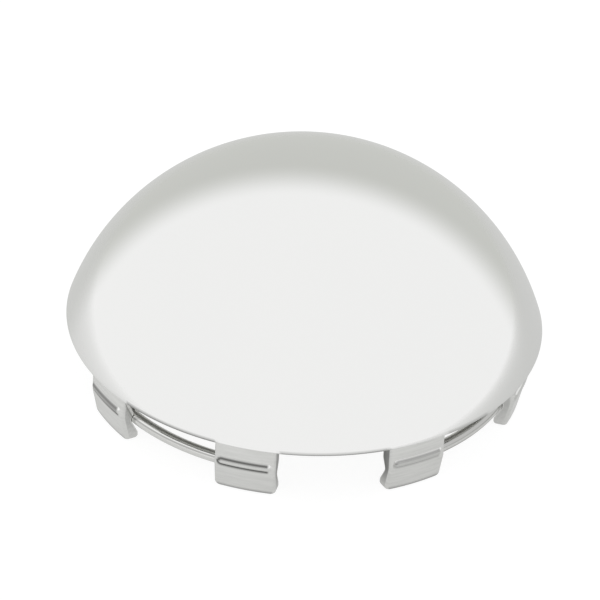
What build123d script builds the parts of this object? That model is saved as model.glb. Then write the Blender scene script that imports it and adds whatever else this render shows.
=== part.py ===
"""Snap-in dome center cap for a wheel bore: a hollow dome with spring tabs, and the wire ring inside them.

Units are millimetres. The cap's axis is Z and the dome points up. The origin is on the axis, in the
plane of the seat under the rim. The gap of the wire ring faces -Y.
"""
from build123d import *
from math import asin, cos, degrees, radians, sin, tan
import os

# Dome and rim
rim_radius = 43.1
dome_height = 31.85
dome_wall = 2.4
rim_edge_round = 0.2

# Spring tabs that hang below the seat
tab_count = 8
tab_width = 11.2
tab_depth = 11.2
seat_width = 2.1
neck_wall = 2.8
tab_corner_round = 0.9
tab_edge_round = 0.5

# Lead-in below the snap ridge, where a tab's outer face leans inwards
lead_drop = 6.0
lead_lean = 13.0
lead_round = 2.0

# Foot at the lower end of each tab
foot_height = 1.5
foot_round = 0.9

# Snap ridge across the outside of each tab
ridge_drop = 4.75
ridge_height = 1.6
ridge_proud = 0.4
ridge_end_margin = 0.6

# Wire ring, and the waist inside the tabs in which it lies
wire_diameter = 2.2
wire_lift = 4.5
wire_clearance = 0.05
wire_end_inset = 5.0
wire_end_round = 0.3
waist_wall = 1.8
waist_upper_lean = 24.0
waist_lower_lean = 28.0
waist_round = 2.0

# Places worked out from the sizes above
sphere_radius = (rim_radius**2 + dome_height**2) / (2 * dome_height)
sphere_centre = dome_height - sphere_radius
front = -90.0
tab_pitch = 360 / tab_count
neck_radius = rim_radius - seat_width
wire_radius = wire_diameter / 2
wire_drop = tab_depth - wire_lift
groove_radius = wire_radius + wire_clearance


def tab_outer_at(z):
    """Radius of a tab's outer face at height z: straight down the neck, then leaning inwards."""
    return neck_radius - max(0, -z - lead_drop) * tan(radians(lead_lean))


wire_ring_radius = tab_outer_at(-wire_drop) - waist_wall - groove_radius


def facing_back(shape):
    """A round shape turned so that its seam lies on -X, away from the tab that is drawn on +X."""
    return Rot(0, 0, 180) * shape


def dome_ball(inset):
    """The dome's whole ball, made smaller all round by inset."""
    return Pos(0, 0, sphere_centre) * facing_back(Sphere(sphere_radius - inset))


def above_seat():
    """A block that holds everything above the seat plane."""
    side = 4 * sphere_radius
    return Pos(0, 0, side / 2) * Box(side, side, side)


def make_shell():
    """The hollow dome, cut off at the seat, with the outer edge of its rim rounded."""
    shell = (dome_ball(0) - dome_ball(dome_wall)) & above_seat()
    seat = shell.faces().filter_by(GeomType.PLANE)[0]
    return fillet(seat.outer_wire().edges(), rim_edge_round)


def waist_corner():
    """Where the two sides of the waist would meet; both of them touch the groove around the wire."""
    half_turn = radians(waist_upper_lean + waist_lower_lean) / 2
    tilt = radians(waist_upper_lean - waist_lower_lean) / 2
    reach = groove_radius / cos(half_turn)
    return wire_ring_radius + reach * cos(tilt), reach * sin(tilt) - wire_drop


def tab_section():
    """A tab cut through its middle, in the XZ plane, from its foot to past where it enters the dome."""
    corner_radius, corner_z = waist_corner()
    neck_inner = neck_radius - neck_wall
    neck_end_z = corner_z + (corner_radius - neck_inner) / tan(radians(waist_upper_lean))
    foot_top_z = foot_height - tab_depth
    foot_inner = corner_radius - (corner_z - foot_top_z) * tan(radians(waist_lower_lean))
    outer_foot = (tab_outer_at(-tab_depth), 0, -tab_depth)
    inner_foot = (foot_inner, 0, -tab_depth)
    foot_top = (foot_inner, 0, foot_top_z)
    waist = (corner_radius, 0, corner_z)
    neck_end = (neck_inner, 0, neck_end_z)
    inner_top = (neck_inner, 0, dome_height)
    outer_top = (neck_radius, 0, dome_height)
    lead = (neck_radius, 0, -lead_drop)
    corners = (outer_foot, inner_foot, foot_top, waist, neck_end, inner_top, outer_top, lead)
    section = make_face(Polyline(*corners, close=True))
    rounds = (
        (inner_foot, foot_round),
        (foot_top, foot_round),
        (waist, groove_radius),
        (neck_end, waist_round),
        (lead, lead_round),
    )
    for corner, radius in rounds:
        section = fillet(section.vertices().sort_by_distance(corner)[0], radius)
    return section


def tab_blank():
    """A tab's outline seen from outside, with rounded lower corners, carried out from the axis along X."""
    outline = Pos(0, (dome_height - tab_depth) / 2) * Rectangle(tab_width, dome_height + tab_depth)
    outline = fillet(outline.vertices().sort_by(Axis.Y)[:2], tab_corner_round)
    return extrude(Plane.YZ * outline, rim_radius)


def make_ridge():
    """The snap ridge: a bar of round section that follows the tab's outer face, with ball ends."""
    ball_radius = (ridge_height**2 / 4 + ridge_proud**2) / (2 * ridge_proud)
    bar_radius = tab_outer_at(-ridge_drop) + ridge_proud - ball_radius
    end_offset = tab_width / 2 - ridge_end_margin - ridge_height / 2
    end_angle = degrees(asin(end_offset / bar_radius))
    centre = Pos(bar_radius, 0, -ridge_drop) * Rot(90, 0, 0)
    bar = Rot(0, 0, -end_angle) * revolve(centre * Circle(ball_radius), Axis.Z, 2 * end_angle)
    ends = [Rot(0, 0, turn) * centre * Sphere(ball_radius) for turn in (-end_angle, end_angle)]
    return bar + ends


def make_tab():
    """One tab on +X, with its root inside the dome's wall, its ridge outside and its waist inside."""
    past_the_wall = above_seat() - dome_ball(dome_wall / 2)
    tab = facing_back(revolve(tab_section(), Axis.Z)) & tab_blank()
    tab -= past_the_wall
    outer_face = tab.faces().sort_by(Axis.X)[-1]
    side_edges = outer_face.edges().sort_by(Axis.Y)
    tab = fillet([side_edges[0], side_edges[-1]], tab_edge_round)
    return tab + make_ridge()


def make_dome_cap():
    """The whole moulding: the shell with its tabs spaced evenly, two of them beside the front."""
    tab = make_tab()
    turns = [front + tab_pitch * (index + 0.5) for index in range(tab_count)]
    return make_shell() + [Rot(0, 0, turn) * tab for turn in turns]


def make_retaining_ring():
    """The open wire ring: both ends are tucked into the waists of the two tabs beside the front."""
    end_offset = tab_width / 2 - wire_end_inset
    half_gap = tab_pitch / 2 - degrees(asin(end_offset / wire_ring_radius))
    section = Pos(wire_ring_radius, 0, -wire_drop) * Rot(90, 0, 0) * Circle(wire_radius)
    ring = revolve(section, Axis.Z, 360 - 2 * half_gap)
    ends = ring.faces().filter_by(GeomType.PLANE).edges()
    return Rot(0, 0, front + half_gap) * fillet(ends, wire_end_round)


os.makedirs("parts", exist_ok=True)
export_step(make_dome_cap(), "parts/dome_cap.step")
export_step(make_retaining_ring(), "parts/retaining_ring.step")
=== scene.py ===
"""Looks of the snap-in dome center cap: a bright-plated dome, its spring tabs and the wire ring in them.

Each sub-assembly is a class whose fields are its real sizes in millimetres. Surfaces are worked out with
numpy in millimetres and go into their meshes in metres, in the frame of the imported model: the axis is Z,
the dome points up, the origin is in the seat plane, and the gap of the wire ring faces -Y.
"""
import logging
import math
from dataclasses import dataclass, field
from enum import Enum

import bpy
import numpy as np
from mathutils import Matrix, Vector


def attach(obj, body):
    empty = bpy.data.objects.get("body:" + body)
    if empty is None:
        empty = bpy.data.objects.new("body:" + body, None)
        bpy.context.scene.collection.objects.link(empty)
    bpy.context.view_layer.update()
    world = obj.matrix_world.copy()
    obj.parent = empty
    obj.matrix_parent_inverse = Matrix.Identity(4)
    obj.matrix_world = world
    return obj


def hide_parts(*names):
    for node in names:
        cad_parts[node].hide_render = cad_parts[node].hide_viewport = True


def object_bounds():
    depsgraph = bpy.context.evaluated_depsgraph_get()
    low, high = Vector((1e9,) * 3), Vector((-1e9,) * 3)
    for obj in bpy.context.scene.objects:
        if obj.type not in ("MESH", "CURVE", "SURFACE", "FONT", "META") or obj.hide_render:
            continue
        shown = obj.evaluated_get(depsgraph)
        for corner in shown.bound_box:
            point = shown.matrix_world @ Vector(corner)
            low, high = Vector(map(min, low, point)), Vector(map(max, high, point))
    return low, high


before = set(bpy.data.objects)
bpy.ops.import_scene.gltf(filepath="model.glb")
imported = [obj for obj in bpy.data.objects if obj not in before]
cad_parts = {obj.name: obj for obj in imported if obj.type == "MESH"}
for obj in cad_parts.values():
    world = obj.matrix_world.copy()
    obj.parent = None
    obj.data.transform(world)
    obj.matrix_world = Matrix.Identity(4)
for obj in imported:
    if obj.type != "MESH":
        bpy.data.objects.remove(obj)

CAD_BOX: tuple[Vector, Vector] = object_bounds()
MM: float = 0.001
IMAGE_SIDE: int = 600
# Point attribute of painted shade: plating darkened to stand in for shade and dark reflections along
# ridges, edges, tab sides and the wire.
PAINTED_SHADE_ATTRIBUTE: str = "painted_shade"
HAZE_DETAIL: float = 4.0
HAZE_NOISE_RANGE: tuple[float, float] = (0.3, 0.7)
DRIFT_DETAIL: float = 3.0
HAIR_DETAIL: float = 2.0
HAIR_EDGE_WIDTH: float = 0.08
HAIR_CREEP: float = 0.0006
STREAK_CREEP: float = 0.004
POLISH_TURN: tuple[float, float, float] = (0.5, 0.3, 0.9)
POLISH_STRETCH: tuple[float, float, float] = (1.0, 0.06, 1.0)
LOG: logging.Logger = logging.getLogger("dome_cap_scene")


class Node(Enum):
    """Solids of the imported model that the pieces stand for."""

    CAP = "dome_cap"
    RING = "retaining_ring"


class Slot(Enum):
    """Material slots of the record."""

    CAP = "plated_cap"
    WIRE = "spring_wire"


class Grain(Enum):
    """Which way the fine marks of a metal surface run."""

    POLISHED = "crossed polishing hairs"
    DRAWN = "lines round the axis"


def smooth_step(value: np.ndarray, start: float, end: float) -> np.ndarray:
    """A soft step: 0 before start, 1 after end, with flat tangents at both.

    Args:
        value: Places to evaluate.
        start: Where the step leaves 0.
        end: Where the step reaches 1.

    Returns:
        The height of the step at each place.
    """
    share = np.clip((value - start) / (end - start), 0.0, 1.0)
    return share * share * (3.0 - 2.0 * share)


def signed_degrees(turn: np.ndarray) -> np.ndarray:
    """Angles given in radians, as degrees from -180 up to 180."""
    return (np.degrees(turn) + 180.0) % 360.0 - 180.0


def round_loss(height: np.ndarray, radius: float) -> np.ndarray:
    """How far a quarter-round edge stands back from the sharp edge it replaces.

    At a height above the edge's foot the loss is radius minus the root of radius squared less
    (radius minus height) squared. It is zero from one radius up.

    Args:
        height: Heights above the foot of the edge.
        radius: Radius of the round.

    Returns:
        The loss at each height.
    """
    short = radius - np.clip(height, 0.0, radius)
    return radius - np.sqrt(radius * radius - short * short)


def bent_line(corners: np.ndarray, rounds: tuple[float, ...], arc_points: int = 24) -> np.ndarray:
    """A line through corners, with an arc in place of each corner between the first and the last.

    The arc touches both sides of its corner. Its centre lies on the line that halves the corner, at the
    radius over the cosine of half the turn, and its points swing by half the turn to either side.

    Args:
        corners: Points of the line, one per row.
        rounds: Radius of each arc, in the same order.
        arc_points: Number of points on an arc.

    Returns:
        The points of the rounded line.
    """
    steps = np.diff(corners, axis=0)
    steps = steps / np.linalg.norm(steps, axis=1, keepdims=True)
    come, go = steps[:-1], steps[1:]
    half = np.arccos(np.clip((come * go).sum(axis=1, keepdims=True), -1.0, 1.0)) / 2
    inward = (go - come) / np.linalg.norm(go - come, axis=1, keepdims=True)
    onward = (go + come) / np.linalg.norm(go + come, axis=1, keepdims=True)
    radius = np.array(rounds)[:, None]
    centre = corners[1:-1] + inward * radius / np.cos(half)
    swing = (half * np.linspace(-1.0, 1.0, arc_points))[..., None]
    spokes = onward[:, None] * np.sin(swing) - inward[:, None] * np.cos(swing)
    arcs = centre[:, None] + radius[..., None] * spokes
    return np.concatenate((corners[:1], arcs.reshape(-1, 2), corners[-1:]))


def grid_quads(rows: int, columns: int, closed: bool) -> np.ndarray:
    """Quads of a grid of points that is numbered row by row.

    Args:
        rows: Number of rows.
        columns: Number of points in a row.
        closed: Whether the last column joins the first.

    Returns:
        One line of four point numbers per quad.
    """
    row = np.arange(rows - 1)[:, None] * columns
    start = np.arange(columns if closed else columns - 1)[None, :]
    after = (start + 1) % columns
    corners = (row + start, row + columns + start, row + columns + after, row + after)
    return np.stack(corners, axis=-1).reshape(-1, 4)


def fan_triangles(middle: int, ring: np.ndarray) -> np.ndarray:
    """Triangles that join a ring of points to a point in its middle.

    Args:
        middle: Number of the middle point.
        ring: Numbers of the ring's points, in order.

    Returns:
        One line of three point numbers per triangle.
    """
    return np.stack((np.full_like(ring, middle), ring, np.roll(ring, -1)), axis=1)


def make_piece(
    name: str, points: np.ndarray, faces: list[np.ndarray], painted_shade: np.ndarray | None = None
) -> bpy.types.Object:
    """Puts points and faces into a smooth mesh on an object at the origin.

    Args:
        name: Name of the piece.
        points: Points in millimetres, one per line.
        faces: Arrays of faces, each with one width.
        painted_shade: How deep each point lies in painted shade, from 0 to 1.

    Returns:
        The new object, linked to the scene.
    """
    mesh = bpy.data.meshes.new(name)
    polygons = [polygon for array in faces for polygon in array.tolist()]
    mesh.from_pydata((points * MM).tolist(), [], polygons)
    mesh.polygons.foreach_set("use_smooth", np.ones(len(polygons), dtype=bool))
    if painted_shade is not None:
        depth = mesh.attributes.new(PAINTED_SHADE_ATTRIBUTE, "FLOAT", "POINT")
        depth.data.foreach_set("value", painted_shade.astype(np.float32))
    mesh.update()
    piece = bpy.data.objects.new(name, mesh)
    bpy.context.scene.collection.objects.link(piece)
    return piece


class EffectGroup:
    """A shader node group that several finishes share, made once."""

    def __init__(self, name: str, inputs: dict[str, tuple[str, float]], outputs: dict[str, str]) -> None:
        """Makes the empty group with its sockets.

        Args:
            name: Name of the group.
            inputs: Socket kind and default value by input name.
            outputs: Socket kind by output name.
        """
        self.tree = bpy.data.node_groups.new(name, "ShaderNodeTree")
        for label, (kind, value) in inputs.items():
            socket = self.tree.interface.new_socket(label, in_out="INPUT", socket_type=kind)
            if kind == "NodeSocketFloat":
                socket.default_value = value
        for label, kind in outputs.items():
            self.tree.interface.new_socket(label, in_out="OUTPUT", socket_type=kind)
        self.start = self.tree.nodes.new("NodeGroupInput").outputs
        self.end = self.tree.nodes.new("NodeGroupOutput").inputs

    def node(self, kind: str, **settings: object) -> bpy.types.Node:
        """Adds a node to the group and sets its properties."""
        return add_node(self.tree, kind, **settings)

    def link(self, source: bpy.types.NodeSocket, target: bpy.types.NodeSocket) -> None:
        """Joins two sockets of the group."""
        self.tree.links.new(source, target)


def add_node(tree: bpy.types.NodeTree, kind: str, **settings: object) -> bpy.types.Node:
    """Adds a shader node to a tree.

    Args:
        tree: The tree that gets the node.
        kind: Type of the node, without the leading ShaderNode.
        **settings: Properties of the node.

    Returns:
        The new node.
    """
    node = tree.nodes.new("ShaderNode" + kind)
    for label, value in settings.items():
        setattr(node, label, value)
    return node


def mix_colours(
    tree: bpy.types.NodeTree,
    first: tuple[float, float, float] | bpy.types.NodeSocket,
    second: tuple[float, float, float],
    share: bpy.types.NodeSocket,
) -> bpy.types.NodeSocket:
    """Mixes two colours by a share.

    Args:
        tree: The tree that gets the node.
        first: Colour at a share of 0, or the socket that gives it.
        second: Colour at a share of 1.
        share: The share.

    Returns:
        The colour socket.
    """
    mix = add_node(tree, "Mix", data_type="RGBA")
    colours = [socket for socket in mix.inputs if socket.type == "RGBA"]
    if isinstance(first, tuple):
        colours[0].default_value = (*first, 1.0)
    else:
        tree.links.new(first, colours[0])
    colours[1].default_value = (*second, 1.0)
    tree.links.new(share, mix.inputs["Factor"])
    return next(socket for socket in mix.outputs if socket.type == "RGBA")


def polish_haze() -> EffectGroup:
    """Cloudy change of roughness where a polished surface was wiped.

    Returns:
        The group: noise of a given scale is carried from the range of the noise to Low and High.
    """
    inputs = {
        "Vector": ("NodeSocketVector", 0.0),
        "Scale": ("NodeSocketFloat", 40.0),
        "Low": ("NodeSocketFloat", 0.03),
        "High": ("NodeSocketFloat", 0.06),
    }
    group = EffectGroup("polish_haze", inputs, {"Roughness": "NodeSocketFloat"})
    noise = group.node("TexNoise")
    noise.inputs["Detail"].default_value = HAZE_DETAIL
    spread = group.node("MapRange", interpolation_type="SMOOTHSTEP")
    spread.inputs["From Min"].default_value, spread.inputs["From Max"].default_value = HAZE_NOISE_RANGE
    group.link(group.start["Vector"], noise.inputs["Vector"])
    group.link(group.start["Scale"], noise.inputs["Scale"])
    group.link(noise.outputs[0], spread.inputs["Value"])
    group.link(group.start["Low"], spread.inputs["To Min"])
    group.link(group.start["High"], spread.inputs["To Max"])
    group.link(spread.outputs["Result"], group.end["Roughness"])
    return group


def hair_lines() -> EffectGroup:
    """Fine hair lines left by polishing or drawing.

    Returns:
        The group: noise of a given scale, on a vector that is already stretched along the lines, is cut
        to thin lines between Edge and a little above it. Lines are 1 on a hair and 0 beside it.
    """
    inputs = {
        "Vector": ("NodeSocketVector", 0.0),
        "Scale": ("NodeSocketFloat", 200.0),
        "Edge": ("NodeSocketFloat", 0.6),
    }
    group = EffectGroup("hair_lines", inputs, {"Lines": "NodeSocketFloat"})
    noise = group.node("TexNoise")
    noise.inputs["Detail"].default_value = HAIR_DETAIL
    over = group.node("Math", operation="ADD")
    over.inputs[1].default_value = HAIR_EDGE_WIDTH
    cut = group.node("MapRange", interpolation_type="SMOOTHSTEP")
    group.link(group.start["Vector"], noise.inputs["Vector"])
    group.link(group.start["Scale"], noise.inputs["Scale"])
    group.link(group.start["Edge"], over.inputs[0])
    group.link(noise.outputs[0], cut.inputs["Value"])
    group.link(group.start["Edge"], cut.inputs["From Min"])
    group.link(over.outputs[0], cut.inputs["From Max"])
    group.link(cut.outputs["Result"], group.end["Lines"])
    return group


@dataclass
class SurfaceEffects:
    """The shared effects, built once for all finishes."""

    haze: EffectGroup = field(default_factory=polish_haze)
    hairs: EffectGroup = field(default_factory=hair_lines)


@dataclass(frozen=True)
class MetalFinish:
    """A metal surface: its tint, its gloss and its fine marks."""

    name: str
    tint: tuple[float, float, float]
    tint_drift: tuple[float, float, float]
    drift_scale: float
    gloss: tuple[float, float]
    haze_scale: float
    grain: Grain
    hair_scale: float
    hair_edge: float
    hair_roughness: float
    hair_depth: float
    # Colour that painted shade darkens the tint towards.
    painted_shade_tint: tuple[float, float, float]

    def material(self, effects: SurfaceEffects) -> bpy.types.Material:
        """Builds the material.

        Args:
            effects: The shared effect groups.

        Returns:
            A metallic material with drifting tint, hazy gloss and hair lines.
        """
        material = bpy.data.materials.new(self.name)
        material.use_nodes = True
        tree = material.node_tree
        shader = tree.nodes["Principled BSDF"]
        shader.inputs["Metallic"].default_value = 1.0
        place = add_node(tree, "TexCoord").outputs["Object"]
        tree.links.new(self.colour(tree, place), shader.inputs["Base Color"])
        lines = self.lines(tree, place, effects)
        tree.links.new(self.roughness(tree, place, lines, effects), shader.inputs["Roughness"])
        bump = add_node(tree, "Bump")
        bump.inputs["Strength"].default_value = 1.0
        bump.inputs["Distance"].default_value = self.hair_depth * MM
        tree.links.new(lines, bump.inputs["Height"])
        tree.links.new(bump.outputs["Normal"], shader.inputs["Normal"])
        return material

    def colour(self, tree: bpy.types.NodeTree, place: bpy.types.NodeSocket) -> bpy.types.NodeSocket:
        """Tint that drifts over the surface, in streaks on a drawn one, and is darkened where the mesh
        carries painted shade.

        Args:
            tree: The material's nodes.
            place: Object coordinates.

        Returns:
            The colour socket.
        """
        noise = add_node(tree, "TexNoise")
        noise.inputs["Scale"].default_value = self.drift_scale
        noise.inputs["Detail"].default_value = DRIFT_DETAIL
        drawn = self.grain is Grain.DRAWN
        vector = self.ring_coordinates(tree, place, STREAK_CREEP) if drawn else place
        tree.links.new(vector, noise.inputs["Vector"])
        open_tint = mix_colours(tree, self.tint, self.tint_drift, noise.outputs[0])
        # Painted shade: by the attribute, the tint goes towards the dark painted shade colour.
        painted_shade = add_node(tree, "Attribute", attribute_name=PAINTED_SHADE_ATTRIBUTE)
        return mix_colours(tree, open_tint, self.painted_shade_tint, painted_shade.outputs["Fac"])

    def lines(
        self, tree: bpy.types.NodeTree, place: bpy.types.NodeSocket, effects: SurfaceEffects
    ) -> bpy.types.NodeSocket:
        """Hair lines along the grain.

        Args:
            tree: The material's nodes.
            place: Object coordinates.
            effects: The shared effect groups.

        Returns:
            The socket that is 1 on a line and 0 beside it.
        """
        hairs = add_node(tree, "Group", node_tree=effects.hairs.tree)
        hairs.inputs["Scale"].default_value = self.hair_scale
        hairs.inputs["Edge"].default_value = self.hair_edge
        if self.grain is Grain.DRAWN:
            vector = self.ring_coordinates(tree, place, HAIR_CREEP)
        else:
            turn = add_node(tree, "Mapping")
            turn.inputs["Rotation"].default_value = POLISH_TURN
            turn.inputs["Scale"].default_value = POLISH_STRETCH
            tree.links.new(place, turn.inputs["Vector"])
            vector = turn.outputs["Vector"]
        tree.links.new(vector, hairs.inputs["Vector"])
        return hairs.outputs["Lines"]

    @staticmethod
    def ring_coordinates(
        tree: bpy.types.NodeTree, place: bpy.types.NodeSocket, creep: float
    ) -> bpy.types.NodeSocket:
        """Coordinates that change quickly across a ring and slowly along it.

        Args:
            tree: The material's nodes.
            place: Object coordinates.
            creep: How far the last coordinate moves in a turn by one radian, in metres.

        Returns:
            The vector of the distance from the axis, the height, and the angle times the creep.
        """
        parts = add_node(tree, "SeparateXYZ")
        tree.links.new(place, parts.inputs[0])
        flat = add_node(tree, "CombineXYZ")
        tree.links.new(parts.outputs["X"], flat.inputs["X"])
        tree.links.new(parts.outputs["Y"], flat.inputs["Y"])
        reach = add_node(tree, "VectorMath", operation="LENGTH")
        tree.links.new(flat.outputs[0], reach.inputs[0])
        angle = add_node(tree, "Math", operation="ARCTAN2")
        tree.links.new(parts.outputs["Y"], angle.inputs[0])
        tree.links.new(parts.outputs["X"], angle.inputs[1])
        slow = add_node(tree, "Math", operation="MULTIPLY")
        slow.inputs[1].default_value = creep
        tree.links.new(angle.outputs[0], slow.inputs[0])
        vector = add_node(tree, "CombineXYZ")
        tree.links.new(reach.outputs["Value"], vector.inputs["X"])
        tree.links.new(parts.outputs["Z"], vector.inputs["Y"])
        tree.links.new(slow.outputs[0], vector.inputs["Z"])
        return vector.outputs[0]

    def roughness(
        self,
        tree: bpy.types.NodeTree,
        place: bpy.types.NodeSocket,
        lines: bpy.types.NodeSocket,
        effects: SurfaceEffects,
    ) -> bpy.types.NodeSocket:
        """Hazy gloss, a little duller on each hair line.

        Args:
            tree: The material's nodes.
            place: Object coordinates.
            lines: The hair lines.
            effects: The shared effect groups.

        Returns:
            The roughness socket.
        """
        haze = add_node(tree, "Group", node_tree=effects.haze.tree)
        haze.inputs["Scale"].default_value = self.haze_scale
        haze.inputs["Low"].default_value, haze.inputs["High"].default_value = self.gloss
        tree.links.new(place, haze.inputs["Vector"])
        duller = add_node(tree, "Math", operation="MULTIPLY_ADD")
        duller.inputs[1].default_value = self.hair_roughness
        tree.links.new(lines, duller.inputs[0])
        tree.links.new(haze.outputs["Roughness"], duller.inputs[2])
        return duller.outputs[0]


MIRROR_PLATING = MetalFinish(
    name="mirror_plating",
    tint=(0.865, 0.865, 0.855),
    tint_drift=(0.85, 0.852, 0.846),
    drift_scale=30.0,
    gloss=(0.02, 0.05),
    haze_scale=60.0,
    grain=Grain.POLISHED,
    hair_scale=2500.0,
    hair_edge=0.66,
    hair_roughness=0.04,
    hair_depth=0.0004,
    painted_shade_tint=(0.12, 0.12, 0.115),
)
# The tabs' plating: the dome's plating with brushed lines, whose lighter tint is painted light, standing
# in for more light on the tabs.
BRUSHED_PLATING = MetalFinish(
    name="brushed_plating",
    tint=(0.95, 0.95, 0.937),
    tint_drift=(0.745, 0.747, 0.734),
    drift_scale=1800.0,
    gloss=(0.05, 0.1),
    haze_scale=80.0,
    grain=Grain.DRAWN,
    hair_scale=2600.0,
    hair_edge=0.52,
    hair_roughness=0.06,
    hair_depth=0.0015,
    painted_shade_tint=(0.12, 0.12, 0.115),
)
SATIN_PLATING = MetalFinish(
    name="satin_plating",
    tint=(0.95, 0.95, 0.93),
    tint_drift=(0.88, 0.88, 0.86),
    drift_scale=90.0,
    gloss=(0.45, 0.6),
    haze_scale=140.0,
    grain=Grain.POLISHED,
    hair_scale=1600.0,
    hair_edge=0.58,
    hair_roughness=0.1,
    hair_depth=0.003,
    painted_shade_tint=(0.2, 0.2, 0.19),
)
DRAWN_STEEL = MetalFinish(
    name="drawn_steel",
    tint=(0.9, 0.9, 0.885),
    tint_drift=(0.8, 0.8, 0.785),
    drift_scale=1500.0,
    gloss=(0.07, 0.14),
    haze_scale=300.0,
    grain=Grain.DRAWN,
    hair_scale=4200.0,
    hair_edge=0.55,
    hair_roughness=0.08,
    hair_depth=0.002,
    painted_shade_tint=(0.2, 0.2, 0.19),
)


@dataclass
class CapShell:
    """The hollow dome with its rim and seat."""

    rim_radius: float = 43.1
    dome_height: float = 31.85
    wall: float = 2.4
    rim_edge_round: float = 0.2
    bore_edge_round: float = 0.15
    line_height: float = 0.2
    line_fade: float = 0.25
    # Lines of painted shade along the rim's lower edge between the tabs: start angle, end angle and depth.
    rim_shade_lines: tuple[tuple[float, float, float], ...] = (
        (-145.5, -118.5, 0.75),
        (-104.0, -76.5, 0.6),
        (-61.5, -47.5, 0.4),
    )
    line_end_fade: float = 1.0
    columns: int = 432
    dome_rows: int = 110
    edge_rows: int = 12
    seat_rows: int = 6
    bore_rows: int = 72

    @property
    def sphere_radius(self) -> float:
        """Radius of the ball whose top is the dome."""
        return (self.rim_radius**2 + self.dome_height**2) / (2 * self.dome_height)

    @property
    def sphere_centre(self) -> float:
        """Height of the ball's centre, below the seat."""
        return self.dome_height - self.sphere_radius

    def profile(self) -> tuple[np.ndarray, int]:
        """The shell's outline in the half plane of distance from the axis and height.

        An arc of the outer ball from the top to the rim, a small arc under it that ends level, the flat
        seat, a smaller arc, and an arc of the inner ball back to the axis.

        Returns:
            The outline, one point per line, and the number of the first point on the inner ball.
        """
        outer, inner = self.sphere_radius, self.sphere_radius - self.wall
        rim, bore = self.rim_edge_round, self.bore_edge_round
        rim_lift = math.asin((rim - self.sphere_centre) / (outer - rim))
        bore_lift = math.asin((bore - self.sphere_centre) / (inner + bore))
        rim_centre = (outer - rim) * math.cos(rim_lift)
        bore_centre = (inner + bore) * math.cos(bore_lift)
        dome = np.linspace(math.pi / 2, rim_lift, self.dome_rows)
        edge = np.linspace(rim_lift, -math.pi / 2, self.edge_rows)[1:]
        seat = np.linspace(rim_centre, bore_centre, self.seat_rows)[1:-1]
        lip = np.linspace(-math.pi / 2, bore_lift - math.pi, self.edge_rows)
        hollow = np.linspace(bore_lift, math.pi / 2, self.bore_rows)[1:]
        arcs = (
            np.stack((outer * np.cos(dome), self.sphere_centre + outer * np.sin(dome)), axis=1),
            np.stack((rim_centre + rim * np.cos(edge), rim + rim * np.sin(edge)), axis=1),
            np.stack((seat, np.zeros_like(seat)), axis=1),
            np.stack((bore_centre + bore * np.cos(lip), bore + bore * np.sin(lip)), axis=1),
            np.stack((inner * np.cos(hollow), self.sphere_centre + inner * np.sin(hollow)), axis=1),
        )
        return np.concatenate(arcs), sum(len(arc) for arc in arcs[:-1])

    def painted_shade(self, height: np.ndarray, turn: np.ndarray) -> np.ndarray:
        """How deep a place lies in the lines of painted shade along the rim's lower edge.

        Each line runs from one angle to another, in a gap between two tabs, where it stands for the dark
        hollow seen under the rim. It has its full depth below its height and fades above it.

        Args:
            height: Heights in the cap's frame.
            turn: Angles from +X.

        Returns:
            The depth of the crease at each place.
        """
        angle = signed_degrees(turn)
        fade = self.line_end_fade
        spans = [
            depth * smooth_step(angle, start, start + fade) * (1.0 - smooth_step(angle, end - fade, end))
            for start, end, depth in self.rim_shade_lines
        ]
        above = smooth_step(height, self.line_height, self.line_height + self.line_fade)
        return sum(spans) * (1.0 - above)

    def build(self) -> bpy.types.Object:
        """Turns the outline about the axis and closes it at both poles.

        Returns:
            The shell, whose inner faces use the second material.
        """
        outline, first_inside = self.profile()
        rings = outline[1:-1]
        turn = (np.arange(self.columns) + 0.5) * 2 * math.pi / self.columns
        circle = np.stack((np.cos(turn), np.sin(turn)), axis=1)
        flat = rings[:, None, :1] * circle[None]
        height = np.broadcast_to(rings[:, None, 1:], (*flat.shape[:2], 1))
        walls = np.concatenate((flat, height), axis=2).reshape(-1, 3)
        poles = np.array(((0.0, 0.0, outline[0, 1]), (0.0, 0.0, outline[-1, 1])))
        top, bottom = len(walls), len(walls) + 1
        here = np.arange(self.columns)
        last = (len(rings) - 1) * self.columns
        cap = fan_triangles(top, here)
        floor = fan_triangles(bottom, last + here[::-1])
        quads = grid_quads(len(rings), self.columns, closed=True)
        on_rim = np.arange(len(rings))[:, None] < first_inside - 1
        # Painted shade only on the outside, along the rim's lower edge.
        painted_shade = np.where(on_rim, self.painted_shade(rings[:, 1:], turn[None]), 0.0).ravel()
        painted_shade = np.concatenate((painted_shade, np.zeros(len(poles))))
        piece = make_piece("cap_shell", np.concatenate((walls, poles)), [quads, cap, floor], painted_shade)
        inside = np.concatenate(
            (quads[:, 0] // self.columns >= first_inside - 1, np.zeros(len(cap)), np.ones(len(floor)))
        )
        piece.data.polygons.foreach_set("material_index", inside.astype(np.int32))
        return piece

    def dress(
        self, piece: bpy.types.Object, outside: bpy.types.Material, inside: bpy.types.Material
    ) -> None:
        """Gives the shell its bright outside and its duller inside, and ties it to the model.

        Args:
            piece: The shell.
            outside: Material of the dome, the rim and the seat.
            inside: Material of the hollow.
        """
        piece.data.materials.append(outside)
        piece.data.materials.append(inside)
        settle(piece, Node.CAP, Slot.CAP)


def settle(piece: bpy.types.Object, node: Node, slot: Slot) -> None:
    """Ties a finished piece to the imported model.

    Args:
        piece: The piece.
        node: The solid that it stands for.
        slot: The record's material slot.
    """
    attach(piece, "root")
    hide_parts(node.value)
    LOG.info("%s: %d faces on %s", piece.name, len(piece.data.polygons), slot.value)


@dataclass
class WireSeat:
    """Where the wire lies, shared by the waists of the tabs and by the wire itself."""

    ring_radius: float = 37.888
    height: float = -6.7
    wire_radius: float = 1.1
    clearance: float = 0.05


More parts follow.
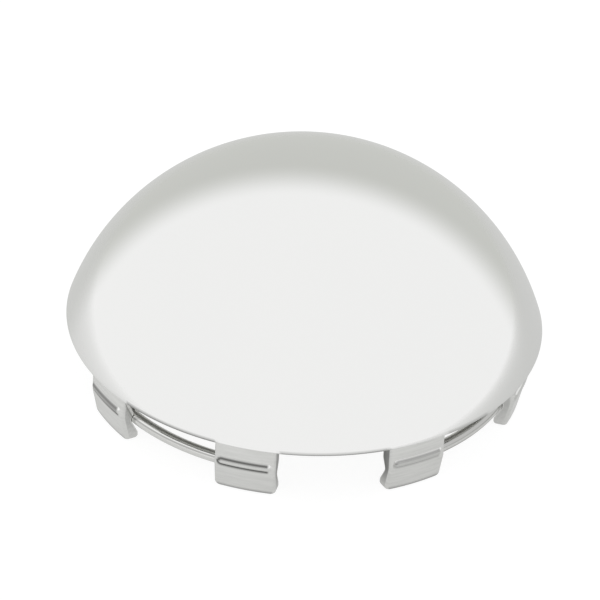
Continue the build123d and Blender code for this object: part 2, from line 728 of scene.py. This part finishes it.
@dataclass
class SpringTab:
    """One spring tab: a straight neck, a snap ridge outside, a waist inside for the wire, and a foot."""

    seat: WireSeat
    shell: CapShell
    root_height: float = 6.0
    neck_radius: float = 41.0
    neck_wall: float = 2.8
    width: float = 11.2
    depth: float = 11.2
    lead_drop: float = 6.0
    lead_lean: float = 13.0
    lead_round: float = 2.0
    waist_upper_lean: float = 24.0
    waist_lower_lean: float = 28.0
    waist_round: float = 2.0
    foot_height: float = 1.5
    foot_round: float = 0.9
    corner_round: float = 0.9
    outer_edge_round: float = 0.5
    inner_edge_round: float = 0.2
    ridge_drop: float = 4.75
    ridge_height: float = 1.6
    ridge_proud: float = 0.4
    ridge_end_margin: float = 0.6
    ridge_fillet: float = 0.12
    # Painted shade and dark reflections along the ridge's flanks and crown, as middle and half width.
    upper_painted_shade: tuple[float, float] = (0.5, 0.5)
    lower_painted_shade: tuple[float, float] = (-0.8, 0.58)
    crown_painted_shade: tuple[float, float] = (-0.1, 1.0)
    painted_shade_end: float = 0.35
    # Painted shade along the lower edge.
    edge_painted_shade: float = 0.75
    edge_painted_shade_height: float = 1.1
    # Painted shade on a tab's side, deepest inside at the neck.
    side_painted_shade: float = 0.9
    side_painted_shade_span: tuple[float, float] = (5.5, 12.5)
    side_painted_shade_outside: float = 0.75
    face_columns: int = 57
    corner_columns: int = 8
    side_columns: int = 4
    ridge_band_share: float = 0.7
    neck_rows: int = 20
    ridge_rows: int = 41
    lead_rows: int = 32
    foot_rows: int = 16

    def outer_radius(self, height: np.ndarray) -> np.ndarray:
        """Distance of the plain outer face from the axis.

        Straight down the neck, then leaning in, with a round at its lower edge. Its root stays inside the
        middle ball of the dome's wall.

        Args:
            height: Heights in the cap's frame.

        Returns:
            The distance at each height.
        """
        drop = (self.depth - self.lead_drop) * math.tan(math.radians(self.lead_lean))
        corners = np.array(
            (
                (self.neck_radius, self.root_height),
                (self.neck_radius, -self.lead_drop),
                (self.neck_radius - drop, -self.depth),
            )
        )
        line = bent_line(corners, (self.lead_round,))[::-1]
        plain = np.interp(height, line[:, 1], line[:, 0])
        ball = self.shell.sphere_radius - self.shell.wall / 2
        root = np.sqrt(ball**2 - (np.clip(height, 0.0, None) - self.shell.sphere_centre) ** 2)
        return np.minimum(plain, root) - round_loss(height + self.depth, self.outer_edge_round)

    def inner_radius(self, height: np.ndarray) -> np.ndarray:
        """Distance of the inner face from the axis.

        Straight down the neck, out to the waist and in again to the foot. Both sides of the waist touch a
        circle around the wire, and every corner is rounded.

        Args:
            height: Heights in the cap's frame.

        Returns:
            The distance at each height.
        """
        upper, lower = math.radians(self.waist_upper_lean), math.radians(self.waist_lower_lean)
        touch = self.seat.wire_radius + self.seat.clearance
        reach = touch / math.cos((upper + lower) / 2)
        waist = self.seat.ring_radius + reach * math.cos((upper - lower) / 2)
        waist_height = self.seat.height + reach * math.sin((upper - lower) / 2)
        neck = self.neck_radius - self.neck_wall
        foot_top = self.foot_height - self.depth
        foot = waist - (waist_height - foot_top) * math.tan(lower)
        corners = np.array(
            (
                (neck, self.root_height),
                (neck, waist_height + (waist - neck) / math.tan(upper)),
                (waist, waist_height),
                (foot, foot_top),
                (foot, -self.depth),
            )
        )
        line = bent_line(corners, (self.waist_round, touch, self.foot_round))[::-1]
        plain = np.interp(height, line[:, 1], line[:, 0])
        return plain + round_loss(height + self.depth, self.foot_round)

    def half_width(self, height: np.ndarray) -> np.ndarray:
        """Half the tab's width, less the round of its lower corners."""
        return self.width / 2 - round_loss(height + self.depth, self.corner_round)

    @property
    def ridge_half_line(self) -> float:
        """Half the length of the ridge's middle line, between the centres of its ball ends."""
        return self.width / 2 - self.ridge_end_margin - self.ridge_height / 2

    def painted_shade(self, across: np.ndarray, height: np.ndarray, painted_shade_depths: tuple[float, ...]) -> np.ndarray:
        """How deep a place on the outer face lies in the painted shade along the ridge and the lower edge.

        The ridge's lines run along both its flanks and its crown. Each is deepest along its middle and
        falls by a soft step to 0 at its half width. The lines run on round the left end and fade at the
        right one. Another line follows the lower edge.

        Args:
            across: Places across the tab.
            height: Heights in the cap's frame.
            painted_shade_depths: Depths of the painted shade lines above, below and along the ridge.

        Returns:
            The depth of the crease at each place.
        """
        over = height + self.ridge_drop
        beyond_left = np.clip(-across - self.ridge_half_line, 0.0, None)
        over = np.where(over < 0.0, -1.0, 1.0) * np.hypot(over, beyond_left)
        tracks = (self.upper_painted_shade, self.lower_painted_shade, self.crown_painted_shade)
        lines = [
            depth * (1.0 - smooth_step(np.abs(over - middle), 0.0, half))
            for (middle, half), depth in zip(tracks, painted_shade_depths)
        ]
        fade = smooth_step(across - self.ridge_half_line, 0.0, self.painted_shade_end)
        edge = 1.0 - smooth_step(height + self.depth, 0.0, self.edge_painted_shade_height)
        return np.maximum(np.clip(sum(lines), 0.0, 1.0) * (1.0 - fade), self.edge_painted_shade * edge)

    def side_shade(self, height: np.ndarray, share: np.ndarray) -> np.ndarray:
        """How deep the painted shade on a tab's side is: most inside at the neck, and less outside and
        towards the foot.
        """
        inwards = self.side_painted_shade_outside + (1.0 - self.side_painted_shade_outside) * share
        return self.side_painted_shade * inwards * (1.0 - smooth_step(-height, *self.side_painted_shade_span))

    def ridge(self, across: np.ndarray, height: np.ndarray) -> np.ndarray:
        """How far the snap ridge stands out of the outer face.

        With q the distance from the ridge's middle line, the ridge is an arc of a ball whose top stands
        proud by the ridge's height; near its foot an arc that bends the other way leads into the face.

        Args:
            across: Places across the tab.
            height: Heights in the cap's frame.

        Returns:
            The height of the ridge over the face at each place.
        """
        ball = (self.ridge_height**2 / 4 + self.ridge_proud**2) / (2 * self.ridge_proud)
        sunk = ball - self.ridge_proud
        beyond = np.clip(np.abs(across) - self.ridge_half_line, 0.0, None)
        q = np.hypot(beyond, height + self.ridge_drop)
        fillet = self.ridge_fillet
        foot = math.sqrt((ball + fillet) ** 2 - (fillet + sunk) ** 2)
        meet = foot * ball / (ball + fillet)
        crown = np.sqrt(np.clip(ball**2 - q**2, 0.0, None)) - sunk
        flare = fillet - np.sqrt(np.clip(fillet**2 - (foot - q) ** 2, 0.0, None))
        return np.where(q < meet, crown, np.where(q < foot, flare, 0.0))

    def levels(self) -> np.ndarray:
        """Heights of the grid's rows, close together where the section bends.

        Returns:
            The heights from the root down.
        """
        ridge_band = self.ridge_height * self.ridge_band_share
        ridge_foot = -self.ridge_drop - ridge_band
        quarter = np.linspace(math.pi / 2, 0.0, self.foot_rows)
        rows = (
            np.linspace(self.root_height, ridge_band - self.ridge_drop, self.neck_rows),
            np.linspace(ridge_band, -ridge_band, self.ridge_rows) - self.ridge_drop,
            np.linspace(ridge_foot, self.foot_round - self.depth, self.lead_rows),
            self.foot_round * (1.0 - np.cos(quarter)) - self.depth,
        )
        heights = np.unique(np.round(np.concatenate(rows), 5))
        return heights[::-1]

    def loop(self) -> tuple[np.ndarray, np.ndarray, np.ndarray, np.ndarray, np.ndarray]:
        """The level section of the tab as columns of a grid, from one side round the outside and back.

        A place across the tab is span times (half width less inset), plus bulge. A depth under the outer
        face is fixed, plus share times what the wall leaves between its rounded edges.

        Returns:
            The arrays span, inset, bulge, fixed and share.
        """
        outer, inner = self.outer_edge_round, self.inner_edge_round
        corner = np.linspace(0.0, math.pi / 2, self.corner_columns)
        face = np.linspace(-1.0, 1.0, self.face_columns)[1:-1]
        far, near = np.split(np.linspace(1.0, 0.0, 2 * self.side_columns + 2)[1:-1], 2)
        ones, flat, side = np.ones_like(corner), np.ones_like(face), np.ones_like(near)
        half = {
            "outer": (
                (-side, 0 * side, 0 * side, outer * side, near),
                (-ones, outer * ones, -outer * np.cos(corner), outer * (1 - np.sin(corner)), 0 * ones),
                (face, outer * flat, 0 * flat, 0 * flat, 0 * flat),
                (ones, outer * ones, outer * np.sin(corner), outer * (1 - np.cos(corner)), 0 * ones),
                (side, 0 * side, 0 * side, outer * side, near[::-1]),
            ),
            "inner": (
                (side, 0 * side, 0 * side, outer * side, far[::-1]),
                (ones, inner * ones, inner * np.cos(corner), outer + inner * np.sin(corner), ones),
                (-face, inner * flat, 0 * flat, (outer + inner) * flat, flat),
                (-ones, inner * ones, -inner * np.sin(corner), outer + inner * np.cos(corner), ones),
                (-side, 0 * side, 0 * side, outer * side, far),
            ),
        }
        stretches = half["outer"] + half["inner"]
        return tuple(np.concatenate([stretch[i] for stretch in stretches]) for i in range(5))

    def surface(self, painted_shade_side: float, painted_shade_depths: tuple[float, ...]) -> tuple[np.ndarray, np.ndarray]:
        """Points of the tab on +X, one row per level and one column per point of the loop.

        A point lies at its own distance from the axis, so faces bend with the ring of tabs while the
        sides stay flat: along X it is the root of the distance squared less the place across squared.

        Args:
            painted_shade_side: How deep the painted shade on one side is; its sign tells which side across
                the tab.
            painted_shade_depths: Depths of the painted shade lines above, below and along the ridge.

        Returns:
            An array of rows, columns and coordinates, and the depth of the crease at each point.
        """
        height = self.levels()[:, None]
        span, inset, bulge, fixed, share = (array[None, :] for array in self.loop())
        outer = self.outer_radius(height)
        wall = outer - self.inner_radius(height)
        across = span * (self.half_width(height) - inset) + bulge
        under = fixed + share * (wall - self.outer_edge_round - self.inner_edge_round)
        on_face = (fixed == 0.0) & (share == 0.0)
        distance = outer - under + np.where(on_face, self.ridge(across, height), 0.0)
        level = np.broadcast_to(height, distance.shape)
        on_side = (inset == 0.0) & (span == np.sign(painted_shade_side)) & (height < 0.0)
        # Painted shade lines on the outer face.
        painted_shade = np.where(on_face, self.painted_shade(across, height, painted_shade_depths), 0.0)
        # Painted shade on one side of the tab.
        painted_shade = np.where(on_side, abs(painted_shade_side) * self.side_shade(height, share), painted_shade)
        return np.stack((np.sqrt(distance**2 - across**2), across, level), axis=-1), painted_shade

    def build(
        self, name: str, turn: float, painted_shade_side: float, painted_shade_depths: tuple[float, ...]
    ) -> bpy.types.Object:
        """Makes one tab, turned about the axis to its place and closed at its root and its foot.

        Args:
            name: Name of the piece.
            turn: Angle of the tab's middle, in degrees from +X.
            painted_shade_side: How deep the painted shade on one side is; its sign tells which side across
                the tab.
            painted_shade_depths: Depths of the painted shade lines above, below and along the ridge.

        Returns:
            The tab.
        """
        grid, painted_shade = self.surface(painted_shade_side, painted_shade_depths)
        rows, columns = painted_shade.shape
        angle = math.radians(turn)
        spin = np.array(((math.cos(angle), -math.sin(angle)), (math.sin(angle), math.cos(angle))))
        points = grid.reshape(-1, 3).copy()
        points[:, :2] = points[:, :2] @ spin.T
        outside = np.arange(columns // 2)
        inside = columns - 1 - outside
        rungs = np.stack((outside[:-1], inside[:-1], inside[1:], outside[1:]), axis=1)
        root = rungs[:, ::-1]
        foot = rungs + (rows - 1) * columns
        quads = grid_quads(rows, columns, closed=True)
        return make_piece(name, points, [quads, root, foot], painted_shade.ravel())

    def dress(self, piece: bpy.types.Object, plating: bpy.types.Material) -> None:
        """Gives a tab its plating and ties it to the model."""
        piece.data.materials.append(plating)
        settle(piece, Node.CAP, Slot.CAP)


@dataclass
class TabRing:
    """The tabs, spaced evenly round the axis, with a gap between two of them at the front."""

    tab: SpringTab
    front: float = -90.0
    # Depth of the painted shade on the side of each tab that faces the front; the sign picks the side.
    painted_shade_sides: tuple[float, ...] = (-1.0, -0.35, -0.5, -0.5, 0.5, 0.5, 0.45, 1.0)
    # Depths of each tab's painted shade lines above, below and along its ridge.
    painted_shade_depths: tuple[tuple[float, float, float], ...] = (
        (0.6, 0.3, 0.2),
        (0.2, 0.2, 0.0),
        (0.5, 0.5, 0.0),
        (0.5, 0.5, 0.0),
        (0.5, 0.5, 0.0),
        (0.5, 0.5, 0.0),
        (0.6, 1.0, 0.55),
        (1.0, 1.0, 0.0),
    )

    def build(self) -> list[bpy.types.Object]:
        """Makes every tab at its own angle, with painted shade on the side that looks towards the front.

        Returns:
            The tabs, counted from the one right of the front.
        """
        pitch = 360.0 / len(self.painted_shade_depths)
        return [
            self.tab.build(f"spring_tab_{index + 1}", self.front + pitch * (index + 0.5), painted_shade_side, painted_shade_depths)
            for index, (painted_shade_side, painted_shade_depths) in enumerate(zip(self.painted_shade_sides, self.painted_shade_depths))
        ]


@dataclass(frozen=True)
class PaintedShadeLine:
    """A line of painted shade along the wire, for a dark reflection: its place round the section, and
    where along the ring it runs.
    """

    middle: float
    half: float
    fade: float
    depth: float
    start: float = -200.0
    end: float = 200.0
    end_fade: float = 8.0

    def shade(self, around: np.ndarray, turn: np.ndarray) -> np.ndarray:
        """How deep places lie in the line.

        Args:
            around: Angles round the section, in degrees from the outside.
            turn: Angles along the ring, in degrees from +X.

        Returns:
            The depth at each place.
        """
        across = 1.0 - smooth_step(np.abs(around - self.middle), self.half, self.half + self.fade)
        begun = smooth_step(turn, self.start, self.start + self.end_fade)
        ended = smooth_step(turn, self.end - self.end_fade, self.end)
        return self.depth * across * begun * (1.0 - ended)


@dataclass
class RetainingWire:
    """The open wire ring, with both ends tucked into the tabs beside the front."""

    seat: WireSeat
    tab_width: float = 11.2
    tab_pitch: float = 45.0
    end_inset: float = 5.0
    end_round: float = 0.3
    front: float = -90.0
    # Painted dark reflections along the wire's outside and top.
    lines: tuple[PaintedShadeLine, ...] = (
        PaintedShadeLine(middle=82.0, half=8.0, fade=11.0, depth=0.85),
        PaintedShadeLine(middle=29.0, half=4.0, fade=9.0, depth=0.65, start=-170.0, end=-80.0),
        PaintedShadeLine(middle=39.0, half=20.0, fade=8.0, depth=0.55, start=-70.0, end=-22.0),
        PaintedShadeLine(middle=332.0, half=10.0, fade=8.0, depth=0.5, start=-70.0, end=-22.0),
    )
    columns: int = 72
    path_rows: int = 540
    end_rows: int = 8

    def build(self) -> bpy.types.Object:
        """Carries a circle along the ring and closes both rounded ends.

        A ring of points lies at an angle along the ring; within the end round the circle's radius is the
        wire's less the loss of a quarter round. Lines of painted shade, standing for dark reflections, run
        along the outside and the top of the wire.

        Returns:
            The wire.
        """
        seat = self.seat
        tuck = math.degrees(math.asin((self.tab_width / 2 - self.end_inset) / seat.ring_radius))
        half_gap = self.tab_pitch / 2 - tuck
        length = math.radians(360.0 - 2 * half_gap) * seat.ring_radius
        quarter = np.linspace(0.0, math.pi / 2, self.end_rows)
        near = self.end_round * (1.0 - np.cos(quarter))
        between = np.linspace(self.end_round, length - self.end_round, self.path_rows)[1:-1]
        along = np.concatenate((near, between, (length - near)[::-1]))
        radius = seat.wire_radius - round_loss(np.minimum(along, length - along), self.end_round)
        turn = (math.radians(self.front + half_gap) + along / seat.ring_radius)[:, None]
        around = np.linspace(0.0, 2 * math.pi, self.columns, endpoint=False)[None, :]
        distance = seat.ring_radius + radius[:, None] * np.cos(around)
        height = seat.height + radius[:, None] * np.sin(around)
        grid = np.stack((distance * np.cos(turn), distance * np.sin(turn), height), axis=-1)
        walls = grid.reshape(-1, 3)
        ends = grid[[0, -1]].mean(axis=1)
        here = np.arange(self.columns)
        last = (len(along) - 1) * self.columns
        start_cap = fan_triangles(len(walls), here)
        end_cap = fan_triangles(len(walls) + 1, last + here[::-1])
        quads = grid_quads(len(along), self.columns, closed=True)
        heading = signed_degrees(turn)
        # Painted shade along the wire.
        wire_shade = np.clip(sum(line.shade(np.degrees(around), heading) for line in self.lines), 0.0, 1.0)
        painted_shade = np.concatenate((wire_shade.ravel(), np.zeros(len(ends))))
        points = np.concatenate((walls, ends))
        return make_piece("retaining_wire", points, [quads, start_cap, end_cap], painted_shade)

    def dress(self, piece: bpy.types.Object, steel: bpy.types.Material) -> None:
        """Gives the wire its drawn steel and ties it to the model."""
        piece.data.materials.append(steel)
        settle(piece, Node.RING, Slot.WIRE)


@dataclass
class Studio:
    """The pale floor, the soft white tent around it and the camera."""

    camera_elevation: float = 34.15
    camera_azimuth: float = -9.5
    camera_roll: float = 3.28
    camera_distance: float = 1628.8
    focal_pixels: float = 9015.0
    origin_pixel: tuple[float, float] = (304.4, 319.45)
    sensor: float = 36.0
    camera_clip: tuple[float, float] = (0.1, 20.0)
    tent_white: float = 1.0
    back_grey: tuple[float, float, float] = (0.64, 0.648, 0.62)
    back_azimuth: float = 177.0
    back_elevation: float = -5.0
    back_core: float = 31.0
    back_edge: float = 56.5
    floor_radius: float = 900.0
    floor_columns: int = 96
    # Painted shadow on the floor: a grey patch near the cap, centred off the axis on the shadow side, with
    # a glow that stands in for light.
    floor_shadow_tone: tuple[float, float, float] = (0.22, 0.223, 0.213)
    floor_painted_glow: float = 0.45
    floor_shadow_middle: tuple[float, float] = (120.0, 40.0)
    floor_near_radius: float = 25.0
    floor_far_radius: float = 245.0
    floor_lift: float = 0.9
    floor_shade: float = 0.16

    def direction(self, azimuth: float, elevation: float) -> Vector:
        """A direction, seen from the cap.

        Args:
            azimuth: Degrees from the front, positive to the right.
            elevation: Degrees above the level.

        Returns:
            The unit vector.
        """
        a, e = math.radians(azimuth), math.radians(elevation)
        return Vector((math.sin(a) * math.cos(e), -math.cos(a) * math.cos(e), math.sin(e)))

    def camera(self) -> bpy.types.Object:
        """Makes the camera, aimed at the origin, which lies a little off the middle of the picture.

        Returns:
            The camera.
        """
        data = bpy.data.cameras.new("camera")
        data.sensor_width = self.sensor
        data.lens = self.focal_pixels * self.sensor / IMAGE_SIDE
        data.shift_x = (IMAGE_SIDE / 2 - self.origin_pixel[0]) / IMAGE_SIDE
        data.shift_y = (self.origin_pixel[1] - IMAGE_SIDE / 2) / IMAGE_SIDE
        data.clip_start, data.clip_end = self.camera_clip
        camera = bpy.data.objects.new("camera", data)
        away = self.direction(self.camera_azimuth, self.camera_elevation)
        aim = (-away).to_track_quat("-Z", "Y").to_matrix().to_4x4()
        roll = Matrix.Rotation(math.radians(self.camera_roll), 4, "Z")
        camera.matrix_world = Matrix.Translation(away * self.camera_distance * MM) @ aim @ roll
        bpy.context.scene.collection.objects.link(camera)
        bpy.context.scene.camera = camera
        return camera

    def tent(self) -> None:
        """Lights the scene from a white tent that is greyer low at the back.

        The share of grey is a soft step of the cosine between a direction and the middle of the grey
        part. Camera rays see plain white.
        """
        world = bpy.data.worlds.new("white_tent")
        bpy.context.scene.world = world
        world.use_nodes = True
        tree = world.node_tree
        middle = self.direction(self.camera_azimuth + self.back_azimuth, self.back_elevation)
        towards = add_node(tree, "VectorMath", operation="DOT_PRODUCT")
        towards.inputs[1].default_value = middle
        tree.links.new(add_node(tree, "TexCoord").outputs["Generated"], towards.inputs[0])
        step = add_node(tree, "MapRange", interpolation_type="SMOOTHSTEP")
        step.inputs["From Min"].default_value = math.cos(math.radians(self.back_edge))
        step.inputs["From Max"].default_value = math.cos(math.radians(self.back_core))
        tree.links.new(towards.outputs["Value"], step.inputs["Value"])
        tone = mix_colours(tree, (self.tent_white,) * 3, self.back_grey, step.outputs["Result"])
        lit = tree.nodes["Background"]
        tree.links.new(tone, lit.inputs["Color"])
        plain = add_node(tree, "Background")
        plain.inputs["Color"].default_value = (1.0, 1.0, 1.0, 1.0)
        seen = add_node(tree, "MixShader")
        tree.links.new(add_node(tree, "LightPath").outputs["Is Camera Ray"], seen.inputs["Fac"])
        tree.links.new(lit.outputs[0], seen.inputs[1])
        tree.links.new(plain.outputs[0], seen.inputs[2])
        tree.links.new(seen.outputs[0], tree.nodes["World Output"].inputs["Surface"])

    def floor_material(self) -> bpy.types.Material:
        """The pale floor, grey near the cap and lost in the white tent further out; the grey is painted
        shadow of the cap, centred off the axis on the shadow side and lifted by a glow that stands in for
        light, while its matt part also takes real shade.

        Camera rays see white with a light shadow, and rays from below pass through.

        Returns:
            The material.
        """
        material = bpy.data.materials.new("pale_floor")
        material.use_nodes = True
        tree = material.node_tree
        tree.nodes.remove(tree.nodes["Principled BSDF"])
        # Painted shadow: the grey patch is centred off the axis and lifted by a glow that stands in for
        # light.
        reach = add_node(tree, "VectorMath", operation="DISTANCE")
        turn, away = self.floor_shadow_middle
        reach.inputs[1].default_value = self.direction(self.camera_azimuth + turn, 0.0) * away * MM
        tree.links.new(add_node(tree, "TexCoord").outputs["Object"], reach.inputs[0])
        step = add_node(tree, "MapRange", interpolation_type="SMOOTHSTEP")
        step.inputs["From Min"].default_value = self.floor_near_radius * MM
        step.inputs["From Max"].default_value = self.floor_far_radius * MM
        tree.links.new(reach.outputs["Value"], step.inputs["Value"])
        matt = add_node(tree, "BsdfDiffuse")
        matt.inputs["Color"].default_value = (*self.floor_shadow_tone, 1.0)
        glow = add_node(tree, "Emission")
        glow.inputs["Strength"].default_value = self.floor_painted_glow
        near = add_node(tree, "AddShader")
        tree.links.new(matt.outputs[0], near.inputs[0])
        tree.links.new(glow.outputs[0], near.inputs[1])
        plain = add_node(tree, "MixShader")
        clear = add_node(tree, "BsdfTransparent")
        tree.links.new(step.outputs["Result"], plain.inputs["Fac"])
        tree.links.new(near.outputs[0], plain.inputs[1])
        tree.links.new(clear.outputs[0], plain.inputs[2])
        shade = add_node(tree, "BsdfDiffuse")
        shade.inputs["Color"].default_value = (*(self.floor_shade,) * 3, 1.0)
        lift = add_node(tree, "Emission")
        lift.inputs["Strength"].default_value = self.floor_lift
        white = add_node(tree, "AddShader")
        tree.links.new(shade.outputs[0], white.inputs[0])
        tree.links.new(lift.outputs[0], white.inputs[1])
        seen = add_node(tree, "MixShader")
        tree.links.new(add_node(tree, "LightPath").outputs["Is Camera Ray"], seen.inputs["Fac"])
        tree.links.new(plain.outputs[0], seen.inputs[1])
        tree.links.new(white.outputs[0], seen.inputs[2])
        below = add_node(tree, "MixShader")
        tree.links.new(add_node(tree, "NewGeometry").outputs["Backfacing"], below.inputs["Fac"])
        tree.links.new(seen.outputs[0], below.inputs[1])
        tree.links.new(clear.outputs[0], below.inputs[2])
        tree.links.new(below.outputs[0], tree.nodes["Material Output"].inputs["Surface"])
        return material

    def floor(self) -> bpy.types.Object:
        """Lays a round floor under the cap's feet.

        Returns:
            The floor.
        """
        turn = np.linspace(0.0, 2 * math.pi, self.floor_columns, endpoint=False)
        level = CAD_BOX[0].z / MM
        edge = np.stack((np.cos(turn), np.sin(turn), np.zeros_like(turn)), axis=1) * self.floor_radius
        points = np.concatenate((edge, np.zeros((1, 3)))) + np.array((0.0, 0.0, level))
        rays = fan_triangles(self.floor_columns, np.arange(self.floor_columns))
        piece = make_piece("floor", points, [rays])
        piece.data.materials.append(self.floor_material())
        return piece


def main() -> None:
    """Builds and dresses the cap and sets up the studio."""
    logging.basicConfig(level=logging.INFO, format="%(name)s: %(message)s")
    bpy.context.scene.view_settings.view_transform = "Standard"
    effects = SurfaceEffects()
    mirror = MIRROR_PLATING.material(effects)
    brushed = BRUSHED_PLATING.material(effects)
    satin = SATIN_PLATING.material(effects)
    steel = DRAWN_STEEL.material(effects)
    shell = CapShell()
    shell.dress(shell.build(), mirror, satin)
    seat = WireSeat()
    tab = SpringTab(seat, shell)
    for piece in TabRing(tab).build():
        tab.dress(piece, brushed)
    wire = RetainingWire(seat)
    wire.dress(wire.build(), steel)
    studio = Studio()
    studio.tent()
    studio.floor()
    studio.camera()


if __name__ == "__main__":
    main()
